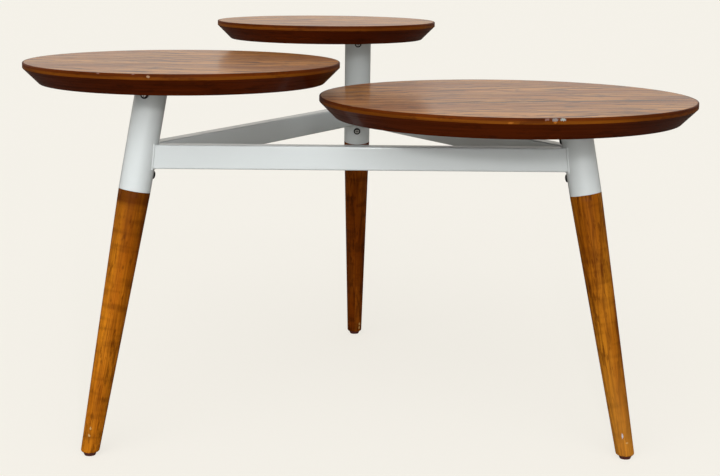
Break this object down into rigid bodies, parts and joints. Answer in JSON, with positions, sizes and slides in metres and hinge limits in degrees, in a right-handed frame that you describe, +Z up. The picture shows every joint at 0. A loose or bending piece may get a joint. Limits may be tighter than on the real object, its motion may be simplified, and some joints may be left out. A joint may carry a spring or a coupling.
{
  "type": "tiered side table",
  "caption": "Low side table with round bevelled wooden tops at different heights on splayed tapered legs joined by a triangular steel frame.",
  "frame": {"origin": "on the floor under the middle of the table's outline seen from above", "axes": "+Z up; +X along the front rail, from the left (mid) leg to the right (low) leg; +Y from the front rail to the rear (high) leg"},
  "size_m": [0.8052, 0.7364, 0.504],
  "materials": {
    "top_wood": "walnut coloured veneer, glossy lacquer",
    "leg_wood": "turned hardwood, golden brown stain, satin lacquer",
    "frame_paint": "pale grey semi-gloss paint",
    "dark_steel": "blackened pan head screw, bright in its recess",
    "zinc_steel": "zinc plated",
    "insert_brass": "plain",
    "glide_plastic": "dark maroon, slightly worn"
  },
  "bodies": {
    "root": {"top_low": "top_wood", "plate_low": "frame_paint", "plate_screws_low": "zinc_steel", "spigot_low": "frame_paint", "lock_screw_low": "dark_steel", "tube_low": "frame_paint", "weld_low": "frame_paint", "leg_low": "leg_wood", "leg_insert_low": "insert_brass", "leg_screw_low": "dark_steel", "glide_low": "glide_plastic", "glide_nail_low": "zinc_steel", "top_mid": "top_wood", "plate_mid": "frame_paint", "plate_screws_mid": "zinc_steel", "spigot_mid": "frame_paint", "lock_screw_mid": "dark_steel", "tube_mid": "frame_paint", "weld_mid": "frame_paint", "leg_mid": "leg_wood", "leg_insert_mid": "insert_brass", "leg_screw_mid": "dark_steel", "glide_mid": "glide_plastic", "glide_nail_mid": "zinc_steel", "top_high": "top_wood", "plate_high": "frame_paint", "plate_screws_high": "zinc_steel", "spigot_high": "frame_paint", "lock_screw_high": "dark_steel", "tube_high": "frame_paint", "weld_high": "frame_paint", "leg_high": "leg_wood", "leg_insert_high": "insert_brass", "leg_screw_high": "dark_steel", "glide_high": "glide_plastic", "glide_nail_high": "zinc_steel", "rail_front": "frame_paint", "rail_left": "frame_paint", "rail_right": "frame_paint"}
  },
  "joints": []
}
